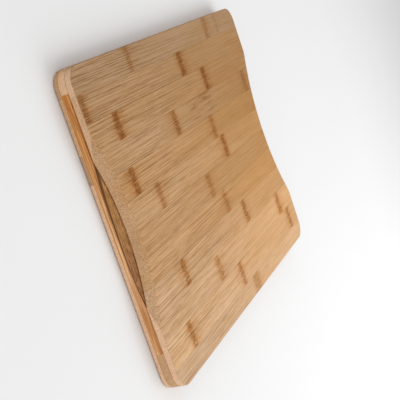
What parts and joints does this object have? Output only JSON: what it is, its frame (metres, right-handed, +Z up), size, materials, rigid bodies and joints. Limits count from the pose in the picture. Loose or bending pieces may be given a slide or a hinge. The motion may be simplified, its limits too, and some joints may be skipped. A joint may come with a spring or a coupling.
{
  "type": "cutting board",
  "caption": "Flat rectangular cutting board of glued bamboo strips in three crossed plies, with a finger scoop in each short end.",
  "frame": {"origin": "middle of the flat underside, as the board lies on a counter with its scooped face up", "axes": "+X along the long side, +Y across the board, +Z up out of the scooped face"},
  "size_m": [0.432, 0.3048, 0.0184],
  "materials": {
    "face_bamboo": "oiled bamboo, dry satin, long grain along X with node marks",
    "core_bamboo": "oiled bamboo, satin, long grain along Y",
    "rail_bamboo": "oiled bamboo, satin, long grain along X",
    "base_bamboo": "oiled bamboo, dry satin, long grain along X"
  },
  "bodies": {
    "root": {"base_strip_01": "base_bamboo", "base_strip_02": "base_bamboo", "base_strip_03": "base_bamboo", "base_strip_04": "base_bamboo", "base_strip_05": "base_bamboo", "base_strip_06": "base_bamboo", "base_strip_07": "base_bamboo", "base_strip_08": "base_bamboo", "base_strip_09": "base_bamboo", "base_strip_10": "base_bamboo", "base_strip_11": "base_bamboo", "base_strip_12": "base_bamboo", "core_rail_front_inner": "rail_bamboo", "core_rail_front_outer": "rail_bamboo", "core_rail_rear": "rail_bamboo", "core_strip_01": "core_bamboo", "core_strip_02": "core_bamboo", "core_strip_03": "core_bamboo", "core_strip_04": "core_bamboo", "core_strip_05": "core_bamboo", "core_strip_06": "core_bamboo", "core_strip_07": "core_bamboo", "core_strip_08": "core_bamboo", "core_strip_09": "core_bamboo", "core_strip_10": "core_bamboo", "core_strip_11": "core_bamboo", "core_strip_12": "core_bamboo", "core_strip_13": "core_bamboo", "core_strip_14": "core_bamboo", "core_strip_15": "core_bamboo", "core_strip_16": "core_bamboo", "core_strip_17": "core_bamboo", "face_strip_01": "face_bamboo", "face_strip_02": "face_bamboo", "face_strip_03": "face_bamboo", "face_strip_04": "face_bamboo", "face_strip_05": "face_bamboo", "face_strip_06": "face_bamboo", "face_strip_07": "face_bamboo", "face_strip_08": "face_bamboo", "face_strip_09": "face_bamboo", "face_strip_10": "face_bamboo", "face_strip_11": "face_bamboo", "face_strip_12": "face_bamboo"}
  },
  "joints": []
}
